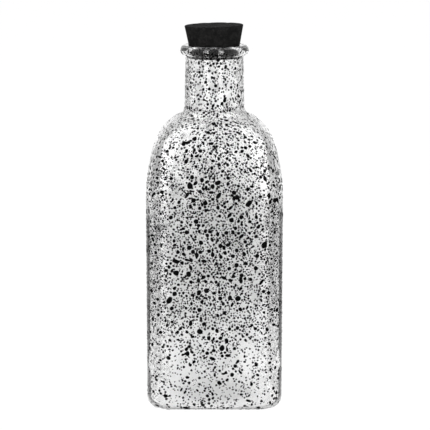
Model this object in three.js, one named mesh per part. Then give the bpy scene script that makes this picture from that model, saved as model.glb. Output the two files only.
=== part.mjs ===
// A square glass table bottle with a domed shoulder, a round neck and a rolled lip.
// A tapered stopper closes its mouth.
// Millimetres, +Z up. The origin is the middle of the plane that the bottle stands on.

import * as THREE from 'three';

// Body, and the glass, which is equally thick all over
const BODY_WIDTH = 75;
const BODY_CORNER_RADIUS = 12;
const WALL_HEIGHT = 115;
const GLASS_THICKNESS = 2;

// Underside
const HEEL_WIDTH = 4.2;
const HEEL_HEIGHT = 6.5;
const FOOT_WIDTH = 3;
const PUNT_DEPTH = 1.4;

// Shoulder dome, as high as it would reach if it closed over the neck
const DOME_HEIGHT = 49.8;
const DOME_POWER = 2.5;

// Neck and lip
const NECK_HEIGHT = 34.6;
const NECK_FLARE = 0.7;
const NECK_FILLET_RADIUS = 5.7;
const LIP_HEIGHT = 5.7;
const LIP_THICKNESS = 5;

// Stopper, and the gaps round it at the lip and in the throat
const STOPPER_LOW_DIAMETER = 25.9;
const STOPPER_SLOPE_DEG = 11.1;
const STOPPER_INSERT = 6.1;
const STOPPER_STAND_OUT = 10.9;
const STOPPER_EDGE_RADIUS = 0.4;
const STOPPER_LEAN_DEG = 1.3;
const STOPPER_CLEARANCE = 0.3;
const THROAT_CLEARANCE = 0.87;

// Fineness of the round stretches
const FLAT_STEPS = 4;
const CORNER_STEPS = 5;
const DOME_STEPS = 11;
const ARC_STEPS = 4;
const LIP_STEPS = 8;
const STOPPER_SIDES = 48;

const HALF_TURN = Math.PI;
const QUARTER_TURN = HALF_TURN / 2;
const BODY_SIDES = 4;

// Heights and widths that follow from the driving dimensions
const bodyHalf = BODY_WIDTH / 2;
const flatShare = 1 - BODY_CORNER_RADIUS / bodyHalf;
const mouthHeight = WALL_HEIGHT + DOME_HEIGHT + NECK_HEIGHT;
const lipMiddle = mouthHeight - LIP_HEIGHT / 2;
const stopperLength = STOPPER_INSERT + STOPPER_STAND_OUT;
const stopperSlope = THREE.MathUtils.degToRad(STOPPER_SLOPE_DEG);

// The lip is an oval ring that clears the stopper's cone. Its middle stands off by the ring's own reach.
const stopperAt = (depth) => STOPPER_LOW_DIAMETER / 2 + (STOPPER_INSERT - depth) * Math.tan(stopperSlope);
const stopperAtLip = stopperAt(LIP_HEIGHT / 2);
const lipReach = Math.hypot(
  LIP_THICKNESS / 2 * Math.cos(stopperSlope),
  LIP_HEIGHT / 2 * Math.sin(stopperSlope),
);
const lipRing = stopperAtLip + (lipReach + STOPPER_CLEARANCE) / Math.cos(stopperSlope);
const lipRadius = lipRing + LIP_THICKNESS / 2;

// The throat, under the lip, clears the stopper's low end.
const throatHeight = mouthHeight - LIP_HEIGHT;
const throatRadius = stopperAt(LIP_HEIGHT) + THROAT_CLEARANCE;
const neckRadius = throatRadius + GLASS_THICKNESS;

// A list of this many values, each worked out from its place in the list.
const steps = (count, valueAt) => Array.from({ length: count }, (_, step) => valueAt(step));

// Points along part of an oval about a centre, from one angle to another.
function ovalArc(centre, across, up, from, to, count) {
  return steps(count + 1, (step) => {
    const angle = THREE.MathUtils.lerp(from, to, step / count);
    return new THREE.Vector2(centre.x + across * Math.cos(angle), centre.y + up * Math.sin(angle));
  });
}

// A level section of a skin: its half-width, its height and how far its flats run from their middle.
const section = (point, flat) => ({ half: point.x, height: point.y, flat });
const roundSection = (point) => section(point, 0);
const squareSection = (point) => section(point, point.x * flatShare);

// Distance from the axis to a section's edge in one direction: on a flat, or on the round corner between two.
function reach({ half, flat }, angle) {
  const cosine = Math.abs(Math.cos(angle));
  const sine = Math.abs(Math.sin(angle));
  const straight = half / Math.max(cosine, sine);
  if (straight * Math.min(cosine, sine) <= flat) {
    return straight;
  }
  const corner = half - flat;
  return flat * (cosine + sine) + Math.sqrt(corner ** 2 - (flat * (cosine - sine)) ** 2);
}

// Directions round the body: even steps along the flats, even turns round the corners.
function directions() {
  const onFlat = (step) => Math.atan(flatShare * step / FLAT_STEPS);
  const cornerStart = onFlat(FLAT_STEPS);
  const cornerStep = (QUARTER_TURN - 2 * cornerStart) / CORNER_STEPS;
  const quarter = [
    ...steps(FLAT_STEPS, onFlat),
    ...steps(CORNER_STEPS, (step) => cornerStart + cornerStep * step),
    ...steps(FLAT_STEPS, (step) => QUARTER_TURN - onFlat(FLAT_STEPS - step)),
  ];
  return steps(BODY_SIDES, (turns) => quarter.map((angle) => angle + turns * QUARTER_TURN)).flat();
}

// Closed skin through a run of sections that starts and ends in a point on the axis.
function closedSkin(sections) {
  const around = directions();
  const count = around.length;
  const rings = sections.slice(1, -1);
  const first = sections[0];
  const last = sections.at(-1);
  const positions = [0, 0, first.height];
  for (const ring of rings) {
    for (const angle of around) {
      const radius = reach(ring, angle);
      positions.push(radius * Math.cos(angle), radius * Math.sin(angle), ring.height);
    }
  }
  positions.push(0, 0, last.height);
  const vertex = (ring, place) => 1 + ring * count + place % count;
  const end = 1 + rings.length * count;
  const triangles = [];
  for (let place = 0; place < count; place += 1) {
    triangles.push(0, vertex(0, place + 1), vertex(0, place));
    for (let ring = 0; ring < rings.length - 1; ring += 1) {
      const low = vertex(ring, place);
      const lowNext = vertex(ring, place + 1);
      const high = vertex(ring + 1, place);
      const highNext = vertex(ring + 1, place + 1);
      triangles.push(low, lowNext, highNext, low, highNext, high);
    }
    triangles.push(vertex(rings.length - 1, place), vertex(rings.length - 1, place + 1), end);
  }
  const geometry = new THREE.BufferGeometry();
  geometry.setAttribute('position', new THREE.Float32BufferAttribute(positions, 3));
  geometry.setIndex(triangles);
  geometry.computeVertexNormals();
  return geometry;
}

// Shoulder from the upright wall to the neck: a superellipse dome, then a hollow fillet into the neck.
// The flats narrow evenly on the way in, so that the section is square at the wall and round at the neck.
function shoulder() {
  const power = 2 / DOME_POWER;
  const fillet = NECK_FILLET_RADIUS;
  const foot = neckRadius + NECK_FLARE;
  const turnAt = (radius) => Math.acos((radius / bodyHalf) ** (1 / power));
  const slopeAt = (turn) => Math.atan(DOME_HEIGHT / bodyHalf * Math.tan(QUARTER_TURN - turn) ** (2 - power));
  const nearTurn = turnAt(foot + fillet);
  const lastTurn = turnAt(foot + fillet * (1 - Math.sin(slopeAt(nearTurn))));
  const slope = slopeAt(lastTurn);
  const dome = steps(DOME_STEPS + 1, (step) => {
    const turn = lastTurn * step / DOME_STEPS;
    const height = WALL_HEIGHT + DOME_HEIGHT * Math.sin(turn) ** power;
    return new THREE.Vector2(bodyHalf * Math.cos(turn) ** power, height);
  });
  const start = dome.at(-1);
  const centre = new THREE.Vector2(start.x + fillet * Math.sin(slope), start.y + fillet * Math.cos(slope));
  const hollow = ovalArc(centre, fillet, fillet, HALF_TURN + QUARTER_TURN - slope, HALF_TURN, ARC_STEPS);
  const end = hollow.at(-1).x;
  return [...dome, ...hollow.slice(1)]
    .map((point) => section(point, bodyHalf * flatShare * (point.x - end) / (bodyHalf - end)));
}

// Underside: a shallow round dish, the flat ring that the bottle stands on, and the rounded heel.
function underside() {
  const footHalf = bodyHalf - HEEL_WIDTH;
  const puntRadius = footHalf - FOOT_WIDTH;
  const dish = steps(ARC_STEPS + 1, (step) => {
    const share = step / ARC_STEPS;
    return new THREE.Vector2(puntRadius * share, PUNT_DEPTH * (1 - share ** 2) ** 2);
  });
  const heelCentre = new THREE.Vector2(footHalf, HEEL_HEIGHT);
  const heel = ovalArc(heelCentre, HEEL_WIDTH, HEEL_HEIGHT, -QUARTER_TURN, 0, ARC_STEPS);
  return [...dish.map(roundSection), ...heel.map(squareSection)];
}

// Rolled lip: out from the neck over its round underside, then over the top and down to the throat.
function lip() {
  const under = ovalArc(
    new THREE.Vector2(neckRadius, lipMiddle),
    lipRadius - neckRadius,
    LIP_HEIGHT / 2,
    -QUARTER_TURN,
    0,
    ARC_STEPS,
  );
  const over = ovalArc(
    new THREE.Vector2(lipRing, lipMiddle),
    LIP_THICKNESS / 2,
    LIP_HEIGHT / 2,
    0,
    HALF_TURN,
    LIP_STEPS,
  );
  return [...under, ...over.slice(1)].map(roundSection);
}

// The inside of a run of outside sections: each moved in by the glass's thickness, square to the outline.
function inset(sections) {
  return sections.map(({ half, height, flat }, place) => {
    const before = sections[Math.max(place - 1, 0)];
    const after = sections[Math.min(place + 1, sections.length - 1)];
    const run = new THREE.Vector2(after.half - before.half, after.height - before.height);
    run.setLength(GLASS_THICKNESS);
    const point = new THREE.Vector2(Math.max(half - run.y, 0), height + run.x);
    return section(point, flat * (1 - GLASS_THICKNESS / bodyHalf));
  });
}

// Glass: the outer skin from the underside's middle up over the lip, then the inner skin down to the floor.
function glassBottle() {
  const outside = [...underside(), ...shoulder()];
  const neckTop = roundSection(new THREE.Vector2(neckRadius, throatHeight));
  const inside = inset([...outside, neckTop]).reverse();
  const geometry = closedSkin([...outside, ...lip(), ...inside]);
  const glass = new THREE.MeshStandardMaterial({
    color: 0xdde3e0,
    roughness: 0.08,
    metalness: 0,
    transparent: true,
    opacity: 0.4,
  });
  const mesh = new THREE.Mesh(geometry, glass);
  mesh.name = 'glass_bottle';
  return mesh;
}

// Stopper: a cone with both edges eased, standing on its low end.
function stopper() {
  const edge = STOPPER_EDGE_RADIUS;
  const lowRadius = STOPPER_LOW_DIAMETER / 2;
  const lowCentre = new THREE.Vector2(
    lowRadius - edge * (1 - Math.sin(stopperSlope)) / Math.cos(stopperSlope),
    edge,
  );
  const topCentre = new THREE.Vector2(
    lowRadius + (stopperLength - edge) * Math.tan(stopperSlope) - edge / Math.cos(stopperSlope),
    stopperLength - edge,
  );
  const outline = [
    new THREE.Vector2(0, 0),
    ...ovalArc(lowCentre, edge, edge, -QUARTER_TURN, -stopperSlope, ARC_STEPS),
    ...ovalArc(topCentre, edge, edge, -stopperSlope, QUARTER_TURN, ARC_STEPS),
    new THREE.Vector2(0, stopperLength),
  ];
  const geometry = new THREE.LatheGeometry(outline, STOPPER_SIDES).rotateX(QUARTER_TURN);
  const cork = new THREE.MeshStandardMaterial({ color: 0x1d1c1c, roughness: 0.85, metalness: 0 });
  const mesh = new THREE.Mesh(geometry, cork);
  mesh.name = 'stopper';
  return mesh;
}

// The stopper was pushed in by hand and leans a little, about the middle of the lip.
function seatedStopper() {
  const seat = new THREE.Group();
  const plug = stopper();
  plug.position.z = LIP_HEIGHT / 2 - STOPPER_INSERT;
  seat.add(plug);
  seat.position.z = lipMiddle;
  seat.rotation.y = -THREE.MathUtils.degToRad(STOPPER_LEAN_DEG);
  return seat;
}

const bottle = new THREE.Group();
bottle.add(glassBottle(), seatedStopper());

export default bottle;
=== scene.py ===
"""A square glass table bottle with black spatter and a black cork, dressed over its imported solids.

Metres, +Z up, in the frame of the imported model. Every piece is a numpy surface at the origin.
"""
import math

import bpy
import numpy as np
from mathutils.kdtree import KDTree
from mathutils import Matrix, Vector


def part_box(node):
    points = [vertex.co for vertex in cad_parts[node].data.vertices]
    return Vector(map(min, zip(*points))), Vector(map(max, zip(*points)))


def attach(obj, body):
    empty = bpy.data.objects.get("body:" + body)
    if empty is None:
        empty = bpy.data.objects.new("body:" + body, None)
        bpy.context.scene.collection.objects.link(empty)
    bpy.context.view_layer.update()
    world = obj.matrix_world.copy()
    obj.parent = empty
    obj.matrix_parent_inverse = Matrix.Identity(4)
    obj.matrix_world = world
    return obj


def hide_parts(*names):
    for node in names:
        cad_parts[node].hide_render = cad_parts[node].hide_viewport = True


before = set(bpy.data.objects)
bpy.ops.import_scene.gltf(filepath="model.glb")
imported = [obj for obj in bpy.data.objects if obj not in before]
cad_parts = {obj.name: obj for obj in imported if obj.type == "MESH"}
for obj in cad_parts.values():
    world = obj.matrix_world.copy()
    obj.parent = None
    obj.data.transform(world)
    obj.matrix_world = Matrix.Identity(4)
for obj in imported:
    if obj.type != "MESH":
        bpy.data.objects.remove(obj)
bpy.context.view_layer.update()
GLASS_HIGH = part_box("glass_bottle")[1]

# Body, with one thickness of glass all over
BODY_HALF = GLASS_HIGH.x
CORNER_RADIUS = 0.012
WALL_HEIGHT = 0.115
WALL_THICKNESS = 0.002
FLAT_SHARE = 1 - CORNER_RADIUS / BODY_HALF

# Underside
HEEL_WIDTH = 0.0042
HEEL_HEIGHT = 0.0065
FOOT_WIDTH = 0.003
PUNT_DEPTH = 0.0014
FOOT_HALF = BODY_HALF - HEEL_WIDTH
PUNT_RADIUS = FOOT_HALF - FOOT_WIDTH

# Shoulder dome, neck and lip
DOME_HEIGHT = 0.0498
DOME_POWER = 2.5
NECK_RADIUS = 0.0159
NECK_FLARE = 0.0007
NECK_FILLET_RADIUS = 0.0057
MOUTH_HEIGHT = GLASS_HIGH.z
LIP_HEIGHT = 0.0057
LIP_THICKNESS = 0.005
LIP_RADIUS = 0.01896
LIP_RING = LIP_RADIUS - LIP_THICKNESS / 2
LIP_MIDDLE = MOUTH_HEIGHT - LIP_HEIGHT / 2

# Stopper
STOPPER_LOW_RADIUS = 0.01295
STOPPER_SLOPE = math.radians(11.1)
STOPPER_INSERT = 0.0061
STOPPER_LENGTH = 0.017
STOPPER_EDGE_RADIUS = 0.0004
STOPPER_LEAN = math.radians(1.3)

# Hand-made unevenness of the glass: its depths, how many waves run round and up it, the range of their
# turns round the axis, and the most radians that one turns in a metre of height
OUTER_RIPPLE = 0.000008
INNER_RIPPLE = 0.00004
RIPPLES = 9
RIPPLE_TURNS = (1, 12)
RIPPLE_RISE = 260.0
OUTER_SEED = 3
INNER_SEED = 8

# Haze of the inside: the roughness of full haze, how far past a flat it fades out, and its shares by height
# at the front and back and at the sides. The worn underside has a share of its own.
HAZE_ROUGHNESS = 0.27
HAZE_FADE = 0.006
HAZE_HEIGHTS = (0.116, 0.132, 0.155, 0.168)
FRONT_HAZE = (1.0, 0.85, 0.85, 1.0)
SIDE_HAZE = (0.4, 1.2, 1.2, 0.7)
UNDER_HAZE = 2.5

# Steps along the skins and round them, and of the search for the dome's end
DISH_STEPS = 24
FOOT_STEPS = 6
HEEL_STEPS = 16
WALL_STEPS = 40
DOME_STEPS = 48
FILLET_STEPS = 12
NECK_STEPS = 16
LIP_UNDER_STEPS = 12
LIP_OVER_STEPS = 10
SEARCH_STEPS = 4000
SEARCH_MARGIN = 0.01
FLAT_STEPS = 15
CORNER_STEPS = 26
BODY_SIDES = 4

# Camera that sees the bottle as it was photographed
CAMERA_PLACE = (0.0003, -1.0, 0.2977)
CAMERA_PITCH = math.radians(10.99)
CAMERA_LENS = 151.6
SENSOR = 36.0

QUARTER_TURN = math.pi / 2
FULL_TURN = 2 * math.pi


# Meshes

def new_piece(name, points, faces, body, material):
    """Smooth mesh object from an array of points and a list of faces, riding on a body."""
    mesh = bpy.data.meshes.new(name)
    mesh.from_pydata(points.tolist(), [], faces, shade_flat=False)
    mesh.update()
    mesh.materials.append(material)
    piece = bpy.data.objects.new(name, mesh)
    bpy.context.collection.objects.link(piece)
    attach(piece, body)
    return piece


def closed_rings(rings):
    """Faces of a skin through rings of points that starts and ends in one point.

    The points come as the first pole, the rings in order, then the last pole. Neighbouring rings are
    joined by quads and each pole by a fan, all facing away from the axis where the rings go upwards.
    """
    count, around = rings.shape
    follow = np.roll(rings, -1, axis=1)
    low, high = rings[:-1], rings[1:]
    quads = np.stack([low, follow[:-1], follow[1:], high], axis=-1).reshape(-1, 4)
    first = np.stack([np.zeros(around, int), follow[0], rings[0]], axis=-1)
    last = np.stack([rings[-1], follow[-1], np.full(around, 1 + count * around)], axis=-1)
    return quads.tolist() + first.tolist() + last.tolist()


def lathe_like(first, rings, last):
    """Points and faces of a closed skin: its first pole, an array of rings of points and its last pole."""
    count, around = rings.shape[:2]
    points = np.concatenate([[first], rings.reshape(-1, 3), [last]])
    return points, closed_rings(1 + np.arange(count * around).reshape(count, around))


# Profile of the glass: each station has a half-width, how far its flats run, and a height

def arc(centre, across, up, start, stop, count):
    """Points of part of an oval: the centre plus across times cosine and up times sine of an even turn."""
    turn = np.linspace(start, stop, count + 1)
    return np.stack([centre[0] + across * np.cos(turn), centre[1] + up * np.sin(turn)], axis=-1)


def between(start, stop, count):
    """Even steps from one station or point to another, with both ends."""
    return np.linspace(start, stop, count + 1)


def stations(points, flats):
    """Half-width, flat and height of each station, from outline points and the length of their flats."""
    return np.stack([points[:, 0], flats * np.ones(len(points)), points[:, 1]], axis=-1)


def shoulder():
    """Superellipse dome from the wall, then a hollow fillet into the neck.

    Radius is the half-width times cosine, height is the rise times sine, each to the power 2 / DOME_POWER.
    The dome ends where a fillet that touches it also touches the neck. The flats shrink evenly to nothing.
    """
    power = 2 / DOME_POWER
    tube = NECK_RADIUS + NECK_FLARE
    turn = np.linspace(SEARCH_MARGIN, QUARTER_TURN - SEARCH_MARGIN, SEARCH_STEPS)
    slope = np.arctan(DOME_HEIGHT / BODY_HALF * np.tan(QUARTER_TURN - turn) ** (2 - power))
    spare = BODY_HALF * np.cos(turn) ** power - tube - NECK_FILLET_RADIUS * (1 - np.sin(slope))
    last_turn = np.interp(0, spare[::-1], turn[::-1])
    last_slope = np.interp(last_turn, turn, slope)
    turn = np.linspace(0, last_turn, DOME_STEPS + 1)
    radius, height = BODY_HALF * np.cos(turn) ** power, WALL_HEIGHT + DOME_HEIGHT * np.sin(turn) ** power
    dome = np.stack([radius, height], axis=-1)
    centre = dome[-1] + NECK_FILLET_RADIUS * np.array([np.sin(last_slope), np.cos(last_slope)])
    start = 3 * QUARTER_TURN - last_slope
    hollow = arc(centre, NECK_FILLET_RADIUS, NECK_FILLET_RADIUS, start, 2 * QUARTER_TURN, FILLET_STEPS)
    points = np.concatenate([dome, hollow[1:]])
    end = points[-1, 0]
    return stations(points, BODY_HALF * FLAT_SHARE * (points[:, 0] - end) / (BODY_HALF - end))


def underside():
    """Shallow round dish from the middle outwards, then the flat ring that widens from round to square.

    The dish's height is the punt's depth times the square of one minus the radius share squared.
    """
    share = np.linspace(0, 1, DISH_STEPS + 1)
    dish = np.stack([PUNT_RADIUS * share, PUNT_DEPTH * (1 - share ** 2) ** 2], axis=-1)
    foot = between((PUNT_RADIUS, 0, 0), (FOOT_HALF, FOOT_HALF * FLAT_SHARE, 0), FOOT_STEPS)
    return np.concatenate([stations(dish, 0), foot[1:-1]])


def side():
    """Outside of the glass from the heel up the wall and the dome to the top of the neck."""
    heel = arc((FOOT_HALF, HEEL_HEIGHT), HEEL_WIDTH, HEEL_HEIGHT, -QUARTER_TURN, 0, HEEL_STEPS)
    heel = stations(heel, heel[:, 0] * FLAT_SHARE)
    dome = shoulder()
    wall = between(heel[-1], dome[0], WALL_STEPS)
    neck = between(dome[-1], (NECK_RADIUS, 0, MOUTH_HEIGHT - LIP_HEIGHT), NECK_STEPS)
    return np.concatenate([heel, wall[1:-1], dome, neck[1:]])


def lip(start, stop, middle, count):
    """Part of the rolled lip, an oval about a ring of this radius, between two turns."""
    return stations(arc((middle, LIP_MIDDLE), LIP_RADIUS - middle, LIP_HEIGHT / 2, start, stop, count), 0)


def inset(outline):
    """Stations of the inside: the outside's, moved in along their normals by the glass's thickness."""
    run = np.gradient(outline[:, [0, 2]], axis=0)
    run *= WALL_THICKNESS / np.linalg.norm(run, axis=1, keepdims=True)
    flats = outline[:, 1] * (1 - WALL_THICKNESS / BODY_HALF)
    return np.stack([np.maximum(outline[:, 0] - run[:, 1], 0), flats, outline[:, 2] + run[:, 0]], axis=-1)


def reach(half, flat, angle):
    """Distance from the axis to a section's edge in one direction.

    On a flat it is the half-width over the larger of cosine and sine. Between two flats it is the way to
    a circle of radius half - flat, whose middle lies at (flat, flat).
    """
    cosine, sine = np.abs(np.cos(angle)), np.abs(np.sin(angle))
    wide, narrow = np.maximum(cosine, sine), np.minimum(cosine, sine)
    inside = np.maximum((half - flat) ** 2 - (flat * (cosine - sine)) ** 2, 0)
    corner = flat * (cosine + sine) + np.sqrt(inside)
    return np.where(half * narrow <= flat * wide, half / wide, corner)


def directions():
    """Directions round the body: even steps along each flat, even turns round each corner."""
    flat = np.arctan(FLAT_SHARE * np.arange(FLAT_STEPS) / FLAT_STEPS)
    corner_start = math.atan(FLAT_SHARE)
    corner = np.linspace(corner_start, QUARTER_TURN - corner_start, CORNER_STEPS, endpoint=False)
    quarter = np.concatenate([flat, corner, QUARTER_TURN - np.append(flat[1:], corner_start)[::-1]])
    return np.add.outer(np.arange(BODY_SIDES) * QUARTER_TURN, quarter).ravel()


def ripple(height, angle, seed):
    """Slow unevenness: the sum of cosine waves round and up the glass, over the root of their number."""
    rng = np.random.default_rng(seed)
    total = 0
    for _ in range(RIPPLES):
        turns = rng.integers(*RIPPLE_TURNS)
        rise = rng.uniform(-RIPPLE_RISE, RIPPLE_RISE)
        start = rng.uniform(0, FULL_TURN)
        total = total + np.cos(turns * angle + rise * height + start)
    return total / RIPPLES ** 0.5


def skin(station, angle, depth, seed):
    """Points at stations and directions: the section's reach plus the ripple, turned round the axis."""
    half, flat, height = station[..., 0], station[..., 1], station[..., 2]
    radius = reach(half, flat, angle)
    swell = np.clip(radius / NECK_RADIUS, 0, 1) * depth
    radius = radius + swell * ripple(height, angle, seed)
    height = height * np.ones_like(radius)
    return np.stack([radius * np.cos(angle), radius * np.sin(angle), height], axis=-1)


# Outside of the glass from the foot to the top of the lip, and the length run up it to each station
OUTER = np.concatenate([
    side(),
    lip(-QUARTER_TURN, 0, NECK_RADIUS, LIP_UNDER_STEPS)[1:],
    lip(0, QUARTER_TURN, LIP_RING, LIP_OVER_STEPS)[1:],
])
OUTER_RUN = np.append(0, np.cumsum(np.linalg.norm(np.diff(OUTER[:, [0, 2]], axis=0), axis=1)))


def outer_skin(run, angle):
    """Point of the outside, from the length run up a flat from the foot and the direction round it."""
    station = np.stack([np.interp(run, OUTER_RUN, OUTER[:, column]) for column in range(3)], axis=-1)
    return skin(station, angle, OUTER_RIPPLE, OUTER_SEED)


def inside_haze(inner, points, angle):
    """Haze of the inside at its stations' points.

    It is one on the flats and falls past their ends, to nothing where the section is fully square. Shares
    by height multiply it, one for the front and back and one for the sides. It ends at the lip.
    """
    flat, height = inner[:, 1:2], points[..., 2]
    past_flat = np.abs(points[..., :2]).min(axis=-1) - flat
    haze = 1 - (flat / BODY_HALF / FLAT_SHARE) * np.clip(past_flat / HAZE_FADE, 0, 1)
    front = np.interp(height, HAZE_HEIGHTS, FRONT_HAZE)
    side_on = np.interp(height, HAZE_HEIGHTS, SIDE_HAZE)
    haze *= np.where(np.abs(np.sin(angle)) > np.sqrt(0.5), front, side_on)
    return haze * np.interp(height, (LIP_MIDDLE - LIP_HEIGHT, LIP_MIDDLE - LIP_HEIGHT / 2), (1, 0))


def glass_bottle(material):
    """One closed skin: underside, outside, lip, inside.

    Two attributes mark the outside, for the paint mist, and the haze of the inside and the underside.
    """
    angle = directions()
    under = underside()
    inner = inset(np.concatenate([under, side()]))[::-1]
    inner = np.concatenate([lip(QUARTER_TURN, 2 * QUARTER_TURN, LIP_RING, LIP_OVER_STEPS)[1:], inner])
    base = skin(under[1:, None], angle, 0, OUTER_SEED)
    outside = skin(OUTER[:, None], angle, OUTER_RIPPLE, OUTER_SEED)
    inside = skin(inner[:-1, None], angle, INNER_RIPPLE, INNER_SEED)
    bands = (base, outside, inside)
    points, faces = lathe_like((0, 0, PUNT_DEPTH), np.concatenate(bands), (0, 0, inner[-1, 2]))
    piece = new_piece("bottle_glass", points, faces, "bottle", material)
    marks = {"outside": (0, 1, 0), "haze": (UNDER_HAZE, 0, inside_haze(inner[:-1], inside, angle))}
    for name, levels in marks.items():
        parts = [np.broadcast_to(level, band.shape[:2]).ravel() for level, band in zip(levels, bands)]
        values = np.concatenate([parts[0][:1], *parts, parts[-1][-1:]])
        piece.data.attributes.new(name, "FLOAT", "POINT").data.foreach_set("value", values)
    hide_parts("glass_bottle")


# Stopper

STOPPER_SEED = 21

# Steps round it, and up its outline: underside, low edge, flank, top edge and top
STOPPER_AROUND = 168
UNDER_STEPS = 24
LOW_EDGE_STEPS = 5
FLANK_STEPS = 44
TOP_EDGE_STEPS = 7
TOP_STEPS = 36

# Pits of the cork: how many, their radii, their depths as shares of the radius, and the deepest
PITS = 240
PIT_RADII = (0.0003, 0.0009)
PIT_DEPTHS = (0.15, 0.4)
DEEPEST_PIT = 0.0004
TINY = 1e-12


def stopper_outline():
    """Cone with both edges eased, from the middle of its low end to the middle of its top."""
    edge = STOPPER_EDGE_RADIUS
    top_radius = STOPPER_LOW_RADIUS + (STOPPER_LENGTH - edge) * math.tan(STOPPER_SLOPE)
    low_centre = (
        STOPPER_LOW_RADIUS - edge * (1 - math.sin(STOPPER_SLOPE)) / math.cos(STOPPER_SLOPE),
        edge,
    )
    top_centre = (top_radius - edge / math.cos(STOPPER_SLOPE), STOPPER_LENGTH - edge)
    low = arc(low_centre, edge, edge, -QUARTER_TURN, -STOPPER_SLOPE, LOW_EDGE_STEPS)
    top = arc(top_centre, edge, edge, -STOPPER_SLOPE, QUARTER_TURN, TOP_EDGE_STEPS)
    flank = between(low[-1], top[0], FLANK_STEPS)
    under = between((0, 0), low[0], UNDER_STEPS)
    over = between(top[-1], (0, STOPPER_LENGTH), TOP_STEPS)
    return np.concatenate([under, low[1:], flank[1:-1], top, over[1:]])


def stopper(material):
    """Turned cork with small pits, leaning a little to one side.

    Each pit sinks the points near it along their normals by a bell curve of their distance.
    """
    rng = np.random.default_rng(STOPPER_SEED)
    outline = stopper_outline()
    turn = np.linspace(0, FULL_TURN, STOPPER_AROUND, endpoint=False)
    radius, height = outline[:, :1], outline[:, 1:] * np.ones_like(turn)
    solid = np.stack([radius * np.cos(turn), radius * np.sin(turn), height], axis=-1)
    outward = np.cross(np.gradient(solid, axis=1), np.gradient(solid, axis=0))
    outward /= np.linalg.norm(outward, axis=-1, keepdims=True) + TINY
    places = solid[1:-1].reshape(-1, 3)
    centres = places[rng.integers(0, len(places), PITS)]
    size = rng.uniform(*PIT_RADII, PITS)
    depth = size * rng.uniform(*PIT_DEPTHS, PITS)
    gap = np.linalg.norm(places[:, None] - centres, axis=-1) / size
    sink = np.minimum((depth * np.exp(-gap ** 2)).sum(axis=1), DEEPEST_PIT)
    rings = (places - sink[:, None] * outward[1:-1].reshape(-1, 3)).reshape(len(outline) - 2, -1, 3)
    points, faces = lathe_like((0, 0, 0), rings, (0, 0, STOPPER_LENGTH))
    points[:, 2] += LIP_HEIGHT / 2 - STOPPER_INSERT
    lean = np.array([
        [math.cos(STOPPER_LEAN), 0, -math.sin(STOPPER_LEAN)],
        [0, 1, 0],
        [math.sin(STOPPER_LEAN), 0, math.cos(STOPPER_LEAN)],
    ])
    points = points @ lean.T + (0, 0, LIP_MIDDLE)
    piece = new_piece("black_cork", points, faces, "stopper", material)
    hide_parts("stopper")


# Spatter

SPATTER_SEED = 5
SQUARE_CENTIMETRE = 0.0001
SKIN_STEP = 0.00002

# Spots of each size: largest and smallest radius, how much they favour the flats' middles, and how many lie
# on a square centimetre at each height
ZONE_HEIGHTS = (0.0, 0.02, 0.05, 0.085, 0.12, 0.14, 0.155, 0.17, 0.194)
SPLASHES = (0.0018, 0.0013, 0.5, (0.06, 0.1, 0.2, 0.6, 0.7, 0.15, 0, 0, 0))
BLOTS = (0.0013, 0.001, 0.4, (0.5, 0.6, 1.3, 2.1, 2.2, 1.8, 1.0, 0.6, 0.3))
LARGE_DROPS = (0.001, 0.0007, 0.3, (3.3, 3.4, 4.2, 6.0, 6.2, 8.0, 6.8, 6.0, 6.0))
DROPS = (0.0007, 0.0005, 0.2, (8, 9, 22, 29, 29, 30, 25, 17, 17))
FLECKS = (0.0005, 0.00038, 0.2, (17, 19, 40, 65, 60, 38, 32, 28, 28))
SPECKS = (0.00036, 0.00024, 0.2, (12, 14, 30, 52, 48, 24, 22, 28, 28))
SMALL_BIAS = 1.8

# Grid that places are drawn from, and the first and last painted stations of the outside
SCATTER_ROWS = 400
SCATTER_COLUMNS = 720
FIRST_PAINTED = 2
LAST_PAINTED = -12

# Shares of paint missing at the sides and the back, and how far that applies at each height
BARE_SIDES = 0.7
BARE_BACK = 0.45
BARE_HEIGHTS = (0.12, 0.138, 0.158, 0.166)
BARE_LEVELS = (0.35, 1.0, 1.0, 0.0)

# Loose clusters: strength, how many times narrower they are than the glass's ripples, and the least share
CLUSTERING = 0.4
CLUSTER_PACE = 3
CLUSTER_SEED = 14
LEAST_SHARE = 0.2

# Shape of the spots: share that has run together, share drawn out to streaks and by how much, usual
# stretch, spread of the tilt, waves round the edge, limits of the edge's radius, height over radius, and
# depth of the rim under the glass surface
RUN_TOGETHER = 0.12
STREAKS = 0.1
STREAK_STRETCH = (0.3, 1.3)
USUAL_STRETCH = 0.16
TILT_SPREAD = 0.9
EDGE_WAVES = (2, 3, 4, 5)
EDGE_RANGE = (0.45, 1.7)
ENAMEL_CROWN = 0.12
ENAMEL_SINK = 0.00003

# Meshes by size: name, smallest and largest radius, rings as shares of the radius, spokes and unevenness
ENAMEL_MESHES = (
    ("enamel_splashes", LARGE_DROPS[1], SPLASHES[0], (0.75, 1.0), 14, 0.16),
    ("enamel_drops", DROPS[1], DROPS[0], (1.0,), 12, 0.08),
    ("enamel_flecks", FLECKS[1], FLECKS[0], (1.0,), 8, 0.06),
    ("enamel_specks", SPECKS[1], SPECKS[0], (1.0,), 6, 0.05),
)


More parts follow.
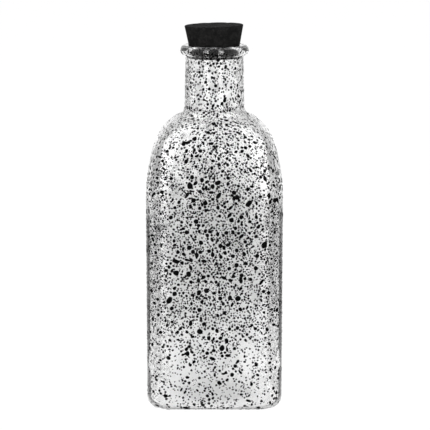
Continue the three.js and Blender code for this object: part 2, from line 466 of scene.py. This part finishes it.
def scatter(rng, zones, to_middle):
    """Random places on the outside, as runs and directions.

    A fine grid of patches is drawn from by weight: the patch's area, times the zone's count at its height,
    times one plus to_middle times the cosine of four times the direction, which favours the flats' middles.
    The weight is less at the sides and the back, and slow waves in it gather the spots in loose clusters.
    """
    run = np.linspace(OUTER_RUN[FIRST_PAINTED], OUTER_RUN[LAST_PAINTED], SCATTER_ROWS)
    angle = np.linspace(0, FULL_TURN, SCATTER_COLUMNS, endpoint=False)
    points = outer_skin(run[:, None] * np.ones_like(angle), angle * np.ones((len(run), 1)))
    across = np.roll(points, -1, axis=1) - points
    along = np.gradient(points, axis=0)
    area = np.linalg.norm(np.cross(across, along), axis=-1) / SQUARE_CENTIMETRE
    height = points[..., 2]
    weight = area * np.interp(height, ZONE_HEIGHTS, zones) * (1 + to_middle * np.cos(BODY_SIDES * angle))
    bare = BARE_SIDES * np.cos(angle) ** 2 + BARE_BACK * np.maximum(np.sin(angle), 0) ** 2
    weight *= 1 - bare * np.interp(height, BARE_HEIGHTS, BARE_LEVELS)
    wave = ripple(CLUSTER_PACE * height, CLUSTER_PACE * angle, CLUSTER_SEED)
    weight *= np.clip(1 + CLUSTERING * wave, LEAST_SHARE, None)
    count = round(weight.sum())
    patch = rng.choice(weight.size, count, p=weight.ravel() / weight.sum())
    jitter = rng.uniform(-0.5, 0.5, (2, count))
    return (
        run[patch // len(angle)] + jitter[0] * (run[1] - run[0]),
        angle[patch % len(angle)] + jitter[1] * (angle[1] - angle[0]),
    )


def keep_apart(points, radius, rng):
    """Marks the spots that stay: from the largest down, each removes the smaller ones that it would touch.

    A small share stays in any case, as drops that have run together.
    """
    order = np.argsort(-radius)
    rank = np.empty(len(order), int)
    rank[order] = np.arange(len(order))
    tree = KDTree(len(points))
    for index, point in enumerate(points):
        tree.insert(point, index)
    tree.balance()
    stays = np.ones(len(points), bool)
    merged = rng.uniform(0, 1, len(points)) < RUN_TOGETHER
    for index in order[~merged[order]]:
        if stays[index]:
            for _, other, gap in tree.find_range(points[index], 2 * radius[index]):
                touching = gap < radius[index] + radius[other]
                if touching and rank[other] > rank[index] and not merged[other]:
                    stays[other] = False
    return stays


def skin_frame(run, angle):
    """Lengths of a unit step of run and of turn on the outside, and the outward normal there."""
    up = (outer_skin(run + SKIN_STEP, angle) - outer_skin(run - SKIN_STEP, angle)) / (2 * SKIN_STEP)
    turn_step = SKIN_STEP / NECK_RADIUS
    across = (outer_skin(run, angle + turn_step) - outer_skin(run, angle - turn_step)) / (2 * turn_step)
    normal = np.cross(across, up)
    normal /= np.linalg.norm(normal, axis=-1, keepdims=True)
    return np.linalg.norm(up, axis=-1), np.linalg.norm(across, axis=-1), normal


def by_corners(faces):
    """Faces grouped by how many corners they have."""
    sizes = sorted({len(face) for face in faces})
    return [[face for face in faces if len(face) == size] for size in sizes]


def enamel_spots(name, places, radius, stretch, tilt, waver, rings, spokes, rng, material):
    """Lens-shaped spots of paint on the outside, all in one mesh.

    Each spot is a disc of rings and spokes whose radius wavers by a few cosines of the spoke's turn. It is
    stretched along its tilt, laid on the skin by run and direction, and raised along the normal by its
    height times one minus the ring's share squared. Its rim and back lie just under the glass surface.
    """
    run, angle = places
    count = len(run)
    turn = np.linspace(0, FULL_TURN, spokes, endpoint=False)
    waves = np.array(EDGE_WAVES)
    phase = rng.uniform(0, FULL_TURN, (count, 1, len(waves)))
    strength = waver * rng.normal(0, 1, (count, 1, len(waves))) / waves
    outline = 1 + (strength * np.cos(waves * turn[:, None] + phase)).sum(axis=-1)
    outline = np.clip(outline, *EDGE_RANGE) * radius[:, None]
    long, short = np.sqrt(stretch)[:, None], 1 / np.sqrt(stretch)[:, None]
    along, beside = outline * np.cos(turn) * long, outline * np.sin(turn) * short
    cosine, sine = np.cos(tilt)[:, None], np.sin(tilt)[:, None]
    up, across = along * cosine - beside * sine, along * sine + beside * cosine
    unit_up, unit_across, _ = skin_frame(run, angle)
    share = np.concatenate([[0], rings])[:, None]
    step_up = share * (up / unit_up[:, None])[:, None]
    step_across = share * (across / unit_across[:, None])[:, None]
    spot_run = np.clip(run[:, None, None] + step_up, 2 * SKIN_STEP, OUTER_RUN[-1] - 2 * SKIN_STEP)
    spot_angle = angle[:, None, None] + step_across
    surface = outer_skin(spot_run, spot_angle)
    normal = skin_frame(spot_run, spot_angle)[2]
    crown = ENAMEL_CROWN * radius[:, None] * (1 - share[:, 0] ** 2) - ENAMEL_SINK * (share[:, 0] >= 1)
    raised = surface + normal * crown[:, :, None, None]
    centre, crown_rings = raised[:, :1, 0], raised[:, 1:].reshape(count, -1, 3)
    back = surface[:, :1, 0] - 2 * ENAMEL_SINK * normal[:, :1, 0]
    points = np.concatenate([back, crown_rings, centre], axis=1)
    order = 1 + np.arange(len(rings) * spokes).reshape(len(rings), spokes)[::-1]
    first = points.shape[1] * np.arange(count)[:, None, None]
    faces = []
    for group in by_corners(closed_rings(order)):
        faces += (np.array(group) + first).reshape(-1, len(group[0])).tolist()
    new_piece(name, points.reshape(-1, 3), faces, "bottle", material)


def spatter(material):
    """All the paint: spots of six sizes, thinned so that few touch, in four meshes by size.

    Most spots are nearly round, and a small share is drawn out to short streaks.
    """
    rng = np.random.default_rng(SPATTER_SEED)
    spots = []
    for largest, smallest, to_middle, zones in (SPLASHES, BLOTS, LARGE_DROPS, DROPS, FLECKS, SPECKS):
        run, angle = scatter(rng, zones, to_middle)
        share = rng.uniform(0, 1, len(run)) ** SMALL_BIAS
        spots.append(np.stack([run, angle, smallest + (largest - smallest) * share], axis=-1))
    spots = np.concatenate(spots)
    spots = spots[keep_apart(outer_skin(spots[:, 0], spots[:, 1]), spots[:, 2], rng)]
    for name, smallest, largest, rings, spokes, waver in ENAMEL_MESHES:
        run, angle, radius = spots[(spots[:, 2] >= smallest) & (spots[:, 2] < largest)].T
        count = len(run)
        streak = rng.uniform(*STREAK_STRETCH, count) * (rng.uniform(0, 1, count) < STREAKS)
        stretch = 1 + rng.exponential(USUAL_STRETCH, count) + streak
        tilt = rng.normal(0, TILT_SPREAD, count)
        enamel_spots(name, (run, angle), radius, stretch, tilt, waver, rings, spokes, rng, material)


# Materials

GLASS_IOR = 1.5
PAINT_SHEEN = 0.03
CORK_SHEEN = 0.06

# Mist of paint in two sizes: cells along a metre, and the largest spot's radius as a share of a cell
MIST_CELLS = (1700.0, 900.0)
MIST_FILLS = (0.25, 0.16)

# Its spread, as two changes with height: from and to these heights, from and to these shares
MIST_FOOT = (0.005, 0.06, 0.4, 0.8)
MIST_SHOULDER = (0.11, 0.135, 1.0, 0.3)


class Wire:
    """One output of a shader tree. Sums and products of wires and numbers add Math nodes to the tree."""

    def __init__(self, tree, socket=None):
        self.tree = tree
        self.socket = socket

    def node(self, kind, settings, inputs, output=0):
        """Any node: its settings are set first, then each input's value or link. Gives one output."""
        made = self.tree.nodes.new(kind)
        for name, value in settings.items():
            setattr(made, name, value)
        for name, value in inputs.items():
            if isinstance(value, Wire):
                self.tree.links.new(value.socket, made.inputs[name])
            else:
                made.inputs[name].default_value = value
        return Wire(self.tree, made.outputs[output] if len(made.outputs) else None)

    def math(self, operation, *values):
        """A Math node on numbers or wires."""
        return self.node("ShaderNodeMath", {"operation": operation}, dict(enumerate(values)))

    def __add__(self, other):
        return self.math("ADD", self, other)

    def __sub__(self, other):
        return self.math("SUBTRACT", self, other)

    def __mul__(self, other):
        return self.math("MULTIPLY", self, other)

    def __truediv__(self, other):
        return self.math("DIVIDE", self, other)

    def __rsub__(self, other):
        return self.math("SUBTRACT", other, self)

    __radd__ = __add__
    __rmul__ = __mul__

    def noise(self, scale, detail=2.0):
        """Noise between 0 and 1 at this place, with so many waves a metre."""
        inputs = {"Vector": self, "Scale": scale, "Detail": detail}
        return self.node("ShaderNodeTexNoise", {}, inputs, "Fac")

    def ease(self, low, high, to_low=0.0, to_high=1.0):
        """Smooth change from one value to another as this value goes from low to high."""
        return self.node(
            "ShaderNodeMapRange",
            {"interpolation_type": "SMOOTHSTEP"},
            {"Value": self, "From Min": low, "From Max": high, "To Min": to_low, "To Max": to_high},
        )

    def blend(self, first, second):
        """Colour between two colours by this value."""
        return self.node(
            "ShaderNodeMix", {"data_type": "RGBA"}, {"Factor": self, "A": first, "B": second}, "Result"
        )


def grey(level):
    """Neutral colour of one level."""
    return (level, level, level, 1.0)


def new_material(name):
    """Empty node material, and a wire to start its tree from."""
    material = bpy.data.materials.new(name)
    material.use_nodes = True
    material.node_tree.nodes.clear()
    return material, Wire(material.node_tree)


def fine_mist(place, cells, fill):
    """Specks of paint too fine to model: round spots of random size about one random point a cell.

    cells is their number along a metre, and fill the largest spot's radius as a share of a cell.
    """
    grid = {"Vector": place, "Scale": cells, "Randomness": 1.0}
    distance = place.node("ShaderNodeTexVoronoi", {}, grid, "Distance")
    tone = place.node("ShaderNodeTexVoronoi", {}, grid, "Color")
    chance = place.node("ShaderNodeSeparateColor", {}, {"Color": tone}, "Red")
    radius = fill * chance.ease(0.25, 1.0)
    return (radius - distance).ease(-0.01, 0.03)


def bottle_glass():
    """Clear, faintly grey glass with slow draw marks, a hazy inside and a mist of paint."""
    material, tree = new_material("clear_glass")
    place = tree.node("ShaderNodeTexCoord", {}, {}, "Object")
    outside = tree.node("ShaderNodeAttribute", {"attribute_name": "outside"}, {}, "Fac")
    haze = tree.node("ShaderNodeAttribute", {"attribute_name": "haze"}, {}, "Fac")
    draw_marks = place.noise(60.0) + 0.08 * place.noise(700.0)
    relief = tree.node("ShaderNodeBump", {}, {
        "Strength": 0.1, "Distance": 0.0001, "Height": draw_marks,
    }, "Normal")
    clear = tree.node("ShaderNodeBsdfPrincipled", {}, {
        "Base Color": grey(0.99),
        "Roughness": haze * HAZE_ROUGHNESS + place.noise(90.0).ease(0.3, 0.8, 0.0, 0.02),
        "IOR": GLASS_IOR,
        "Transmission Weight": 1.0,
        "Normal": relief,
    })
    height = tree.node("ShaderNodeSeparateXYZ", {}, {"Vector": place}, "Z")
    zone = height.ease(*MIST_FOOT) * height.ease(*MIST_SHOULDER)
    patch = place.noise(45.0).ease(0.3, 0.7, 0.75, 1.1)
    mists = [fine_mist(place, cells, zone * patch * fill) for cells, fill in zip(MIST_CELLS, MIST_FILLS)]
    cover = outside * tree.math("MAXIMUM", *mists)
    paint = tree.node("ShaderNodeBsdfPrincipled", {}, {
        "Base Color": grey(0.003), "Roughness": 0.5, "Specular IOR Level": PAINT_SHEEN,
    })
    surface = tree.node("ShaderNodeMixShader", {}, {0: cover, 1: clear, 2: paint})
    body = tree.node("ShaderNodeVolumeAbsorption", {}, {"Color": grey(0.6), "Density": 3.0})
    tree.node("ShaderNodeOutputMaterial", {}, {"Surface": surface, "Volume": body})
    return material


def black_enamel():
    """Satin black paint, a little uneven in depth and gloss."""
    material, tree = new_material("black_enamel")
    place = tree.node("ShaderNodeTexCoord", {}, {}, "Object")
    cloud = place.noise(420.0, 3.0)
    relief = tree.node("ShaderNodeBump", {}, {
        "Strength": 0.2, "Distance": 0.0002, "Height": place.noise(2600.0),
    }, "Normal")
    paint = tree.node("ShaderNodeBsdfPrincipled", {}, {
        "Base Color": cloud.ease(0.45, 0.75).blend(grey(0.001), grey(0.003)),
        "Roughness": cloud.ease(0.3, 0.7, 0.3, 0.5),
        "Specular IOR Level": PAINT_SHEEN,
        "Normal": relief,
    })
    tree.node("ShaderNodeOutputMaterial", {}, {"Surface": paint})
    return material


def black_cork():
    """Black dyed cork: small grains of slightly different depth, dark seams and pores."""
    material, tree = new_material("dyed_cork")
    place = tree.node("ShaderNodeTexCoord", {}, {}, "Object")
    grains = {"Vector": place, "Scale": 520.0, "Randomness": 1.0}
    tone = tree.node("ShaderNodeTexVoronoi", {}, grains, "Color")
    depth = tree.node("ShaderNodeSeparateColor", {}, {"Color": tone}, "Red")
    seam = tree.node("ShaderNodeTexVoronoi", {"feature": "DISTANCE_TO_EDGE"}, grains, "Distance")
    fibre = place.noise(1500.0, 4.0)
    level = depth * 0.5 + fibre * 0.5 - 0.3 * seam.ease(0.0, 0.08, 1.0, 0.0)
    relief = tree.node("ShaderNodeBump", {}, {
        "Strength": 0.5, "Distance": 0.0003, "Height": fibre + 0.6 * seam.ease(0.0, 0.1),
    }, "Normal")
    cork = tree.node("ShaderNodeBsdfPrincipled", {}, {
        "Base Color": level.ease(0.1, 0.9).blend(grey(0.004), (0.014, 0.0137, 0.0134, 1.0)),
        "Roughness": fibre.ease(0.2, 0.8, 0.85, 1.0),
        "Specular IOR Level": CORK_SHEEN,
        "Normal": relief,
    })
    tree.node("ShaderNodeOutputMaterial", {}, {"Surface": cork})
    return material


# White surroundings, as the camera and the glass see them

# The floor's white to the camera and in the glass, the brightest that it gets and its share over lit paper,
# the sky's white, and the grey of the room that lights the set
CAMERA_WHITE = 1.03
GLASS_WHITE = 1.13
BRIGHTEST = 1.45
WHITE_SHARE = 0.95
SKY_WHITE = 1.15
ROOM_GREY = 0.45

# The floor in the glass, painted shade and light: how much darker the painted shadow is under the bottle
# and in a band off its faces, and how much brighter the painted light is far off and less so farther still,
# with the distances over which each begins or ends
UNDER_SHADOW_DEPTH = 0.3
UNDER_SHADOW_END = (0.018, 0.028)
SHADOW_BAND_DEPTH = 0.14
SHADOW_BAND_START = (0.13, 0.2)
SHADOW_BAND_END = (0.42, 0.7)
FAR_PAINTED_LIGHT = 0.32
FAR_START = (0.5, 0.85)
FARTHER_DROP = 0.2
FARTHER_START = (1.1, 1.5)

# Slopes off the body are taken from this place near each corner of the foot. They end the painted shadow
# band off the faces and start the painted dark cards off the corners.
FOOT_CORNER = (0.03, 0.027)
SHADOW_BAND_SLOPES = (0.12, 0.17)
CARD_SLOPES = (0.05, 0.2)

# Painted dark cards, shade painted on the floor and overhead with no cards there, that draw the edges of
# clear
# glass: depth on the floor and overhead, the distances where they start and end, where those all round end,
# and the upward share of directions where the ceiling starts
PAINTED_CARD_DEPTH = 0.97
PAINTED_CEILING_DEPTH = 0.8
CARD_START = (0.028, 0.058)
CARD_END = (0.4, 0.9)
CARD_ROUND_END = (0.09, 0.12)
CEILING_START = (0.3, 0.5)

# Painted shade in reflections: how much darker they are in front and at the sides, and the directions along
# Y where that ends
DIM_FRONT = 0.65
DIM_SIDES = 0.25
FRONT_END = (-0.25, 0.0)
SIDES_END = (0.7, 0.97)


def seen_in_glass(tree):
    """One for rays that leave glass or a glossy surface, and zero for the rest."""
    mirrored = tree.node("ShaderNodeLightPath", {}, {}, "Is Glossy Ray")
    passed = tree.node("ShaderNodeLightPath", {}, {}, "Is Transmission Ray")
    return tree.math("MAXIMUM", mirrored, passed)


def rim_rays(tree):
    """One for rays that crossed one or two faces of glass, as at the bottle's rim, zero for the rest."""
    crossings = tree.node("ShaderNodeLightPath", {}, {}, "Transmission Depth")
    return crossings.ease(0.0, 1.0) * crossings.ease(2.0, 3.0, 1.0, 0.0)


def painted_reflection_shade(tree, forward, backward):
    """Share of white in reflections, a painted shade: least in front, a little dimmed at the sides, full at
    the back.

    forward is the place or direction along Y that tells the front, and backward the one for the back.
    """
    mirrored = tree.node("ShaderNodeLightPath", {}, {}, "Glossy Depth")
    in_front = forward.ease(*FRONT_END, DIM_FRONT - DIM_SIDES, 0.0)
    at_sides = backward.ease(*SIDES_END, DIM_SIDES, 0.0)
    return 1 - mirrored.ease(0.0, 1.0) * (in_front + at_sides)


def pale_floor():
    """Pale floor that takes the shadow, and shows white to the camera and in the glass.

    In the glass it carries painted shade and light: a painted shadow right under the bottle, a little
    painted shadow of the bottle straight off its faces, and painted light far off. To rays at the bottle's
    rim it is painted nearly black close by and off the corners, like dark cards. Its reflections are
    painted darker in front and at the sides.
    """
    material, tree = new_material("pale_floor")
    in_glass = seen_in_glass(tree)
    to_camera = tree.node("ShaderNodeLightPath", {}, {}, "Is Camera Ray")
    either = in_glass.math("MAXIMUM", in_glass, to_camera)
    place = tree.node("ShaderNodeTexCoord", {}, {}, "Object")
    paper = tree.node("ShaderNodeBsdfPrincipled", {}, {
        "Base Color": place.noise(3.0).blend(grey(0.9), grey(0.93)),
        "Roughness": 0.8,
    })
    distance = tree.node("ShaderNodeVectorMath", {"operation": "LENGTH"}, {0: place}, "Value")
    across = tree.node("ShaderNodeSeparateXYZ", {}, {"Vector": place}, "X")
    along = tree.node("ShaderNodeSeparateXYZ", {}, {"Vector": place}, "Y")
    sides = across.math("ABSOLUTE", across), along.math("ABSOLUTE", along)
    longer, shorter = along.math("MAXIMUM", *sides), along.math("MINIMUM", *sides)
    slope = (shorter - FOOT_CORNER[1]) / (longer - FOOT_CORNER[0])
    # Painted shadow right under the bottle, seen in the glass
    under = 1 - UNDER_SHADOW_DEPTH * distance.ease(*UNDER_SHADOW_END, 1.0, 0.0)
    # Painted shadow of the bottle in a band straight off its faces
    band = distance.ease(*SHADOW_BAND_START) * distance.ease(*SHADOW_BAND_END, 1.0, 0.0)
    band = band * slope.ease(*SHADOW_BAND_SLOPES, 1.0, 0.0)
    # Painted light far off, less so farther still
    far = FAR_PAINTED_LIGHT * distance.ease(*FAR_START) - FARTHER_DROP * distance.ease(*FARTHER_START)
    painted_shade_and_light = GLASS_WHITE - SHADOW_BAND_DEPTH * band + far
    # Painted dark cards close by and off the corners, seen by rays at the bottle's rim
    beside = slope.math("MAXIMUM", slope.ease(*CARD_SLOPES), distance.ease(*CARD_ROUND_END, 1.0, 0.0))
    cards = distance.ease(*CARD_START) * distance.ease(*CARD_END, 1.0, 0.0) * beside
    edges = 1 - PAINTED_CARD_DEPTH * cards * rim_rays(tree)
    # Close to the foot all the floor counts as the back, and the front starts a little before it
    forward = along * 4.0 + 0.25
    backward = along / distance + distance.ease(0.08, 0.15, 2.0, 0.0)
    # Painted shade and light in the glass, with painted dimming of reflections
    shade = under * painted_shade_and_light * edges * painted_reflection_shade(tree, forward, backward)
    level = either * (CAMERA_WHITE + in_glass * (shade - CAMERA_WHITE)) / BRIGHTEST
    white = tree.node("ShaderNodeEmission", {}, {
        "Color": level.blend(grey(0.0), grey(1.0)), "Strength": BRIGHTEST,
    })
    surface = tree.node("ShaderNodeMixShader", {}, {0: either * WHITE_SHARE, 1: paper, 2: white})
    tree.node("ShaderNodeOutputMaterial", {}, {"Surface": surface})
    return material


# Stage, lights and camera

FLOOR_RADIUS = 6.0
FLOOR_HUB = 0.02
FLOOR_RINGS = 24
FLOOR_AROUND = 96
FLOOR_GAP = 0.0001

# Wide softboxes overhead, left and right: how far aside, behind and up, what they face, width and length
OVERHEAD_PLACE = (0.55, 0.1, 1.2)
OVERHEAD_AIM = (0, 0, 0.1)
OVERHEAD_SIZE = (0.8, 1.2)
OVERHEAD_RADIANCE = 1.6

# Upright strip lamps in front, turned to the left and right of the camera
STRIP_TURNS = {"left": math.radians(-30.0), "right": math.radians(24.0)}
STRIP_DISTANCE = 0.93
STRIP_HEIGHT = 1.8
STRIP_WIDTH = 0.3
STRIP_RADIANCE = 5.0


def floor():
    """Round floor just under the bottle's foot: rings that widen evenly in proportion."""
    turn = np.linspace(0, FULL_TURN, FLOOR_AROUND, endpoint=False)
    radius = np.geomspace(FLOOR_HUB, FLOOR_RADIUS, FLOOR_RINGS)
    height = np.full((FLOOR_RINGS, FLOOR_AROUND), -FLOOR_GAP)
    rings = np.stack([np.outer(radius, np.cos(turn)), np.outer(radius, np.sin(turn)), height], axis=-1)
    order = 1 + np.arange(height.size).reshape(height.shape)
    follow = np.roll(order, -1, axis=1)
    quads = np.stack([order[:-1], order[1:], follow[1:], follow[:-1]], axis=-1).reshape(-1, 4)
    middle = np.stack([np.zeros(FLOOR_AROUND, int), order[0], follow[0]], axis=-1)
    points = np.concatenate([[(0, 0, -FLOOR_GAP)], rings.reshape(-1, 3)])
    mesh = bpy.data.meshes.new("floor")
    mesh.from_pydata(points.tolist(), [], quads.tolist() + middle.tolist(), shade_flat=False)
    mesh.materials.append(pale_floor())
    piece = bpy.data.objects.new("floor", mesh)
    bpy.context.collection.objects.link(piece)


def softbox(name, place, target, width, height, radiance):
    """Rectangular lamp of even brightness at a place, facing a target."""
    lamp = bpy.data.lights.new(name, "AREA")
    lamp.shape = "RECTANGLE"
    lamp.size = width
    lamp.size_y = height
    lamp.energy = radiance * math.pi * width * height
    lit = bpy.data.objects.new(name, lamp)
    lit.location = place
    gaze = np.array(target) - np.array(place)
    pan = math.atan2(-gaze[0], gaze[1])
    tilt = math.atan2(gaze[2], math.hypot(gaze[0], gaze[1]))
    lit.rotation_euler = (QUARTER_TURN + tilt, 0, pan)
    bpy.context.collection.objects.link(lit)


def studio():
    """Grey room with two softboxes overhead and two upright strips in front.

    It shows white to the camera and in the glass, but rays at the bottle's rim see its ceiling painted
    dark, and its reflections are painted darker in front and at the sides.
    """
    world = bpy.data.worlds.new("studio")
    world.use_nodes = True
    world.node_tree.nodes.clear()
    tree = Wire(world.node_tree)
    in_glass = seen_in_glass(tree)
    to_camera = tree.node("ShaderNodeLightPath", {}, {}, "Is Camera Ray")
    either = in_glass.math("MAXIMUM", in_glass, to_camera)
    room = tree.node("ShaderNodeBackground", {}, {"Color": grey(ROOM_GREY)})
    direction = tree.node("ShaderNodeTexCoord", {}, {}, "Generated")
    forward = tree.node("ShaderNodeSeparateXYZ", {}, {"Vector": direction}, "Y")
    upward = tree.node("ShaderNodeSeparateXYZ", {}, {"Vector": direction}, "Z")
    # Painted dark ceiling for rays at the bottle's rim, and painted dimming of reflections
    ceiling = 1 - PAINTED_CEILING_DEPTH * upward.ease(*CEILING_START) * rim_rays(tree)
    level = painted_reflection_shade(tree, forward, forward) * ceiling
    white = tree.node("ShaderNodeBackground", {}, {
        "Color": level.blend(grey(0.0), grey(1.0)), "Strength": SKY_WHITE,
    })
    sky = tree.node("ShaderNodeMixShader", {}, {0: either, 1: room, 2: white})
    tree.node("ShaderNodeOutputWorld", {}, {"Surface": sky})
    bpy.context.scene.world = world
    aside, behind, height = OVERHEAD_PLACE
    for hand, name in ((-1, "left"), (1, "right")):
        place = (hand * aside, behind, height)
        softbox(f"overhead_{name}", place, OVERHEAD_AIM, *OVERHEAD_SIZE, OVERHEAD_RADIANCE)
    for name, turn in STRIP_TURNS.items():
        middle = STRIP_HEIGHT / 2
        place = (STRIP_DISTANCE * math.sin(turn), -STRIP_DISTANCE * math.cos(turn), middle)
        softbox(f"strip_{name}", place, (0, 0, middle), STRIP_WIDTH, STRIP_HEIGHT, STRIP_RADIANCE)


def camera():
    """Camera at the photographed angle."""
    lens = bpy.data.cameras.new("camera")
    lens.lens = CAMERA_LENS
    lens.sensor_width = SENSOR
    eye = bpy.data.objects.new("camera", lens)
    eye.location = CAMERA_PLACE
    eye.rotation_euler = (QUARTER_TURN - CAMERA_PITCH, 0, 0)
    bpy.context.collection.objects.link(eye)
    bpy.context.scene.camera = eye


def main():
    """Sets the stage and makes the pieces."""
    bpy.context.scene.view_settings.view_transform = "Standard"
    camera()
    studio()
    floor()
    enamel = black_enamel()
    glass_bottle(bottle_glass())
    stopper(black_cork())
    spatter(enamel)


main()
